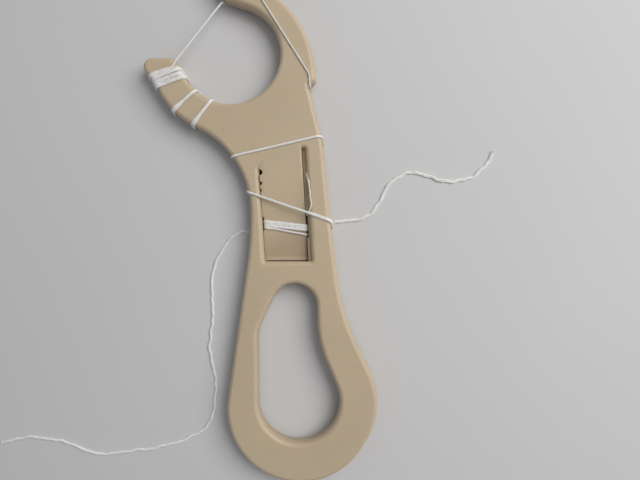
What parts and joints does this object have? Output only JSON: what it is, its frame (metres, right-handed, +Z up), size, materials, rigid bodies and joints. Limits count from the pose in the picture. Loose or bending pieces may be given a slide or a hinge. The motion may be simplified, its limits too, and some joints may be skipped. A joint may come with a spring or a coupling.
{
  "type": "floss holder",
  "caption": "Flat hand-held floss holder: a looped handle, a clamp tongue in the neck and a round fork, wound with floss that is stretched across the fork's mouth.",
  "frame": {"origin": "the middle of the holder's plan, on the table that it lies on", "axes": "+Z up out of the face, +Y from the handle's loop toward the fork, +X to the right with the face up"},
  "size_m": [0.122, 0.1217, 0.0058],
  "materials": {
    "ivory_plastic": "satin moulded ivory plastic",
    "floss": "waxed white thread"
  },
  "bodies": {
    "holder": {"holder_body": "ivory_plastic", "floss_left_arm_turns": "floss", "floss_span": "floss", "floss_right_arm_turn": "floss", "floss_arm_strand": "floss", "floss_neck_bands": "floss", "floss_right_tail": "floss", "floss_left_tail": "floss"},
    "tongue": {"clamp_tongue": "ivory_plastic", "floss_tongue_turns": "floss"}
  },
  "joints": [
    {"name": "tongue_flex", "type": "hinge", "parent": "holder", "child": "tongue", "pos_m": [0.0051, 0.0158, 0.00445], "axis": [-0.8878, -0.4602, 0], "range_deg": [-1.2, 7], "stiffness_Nm_per_rad": 0.5}
  ]
}
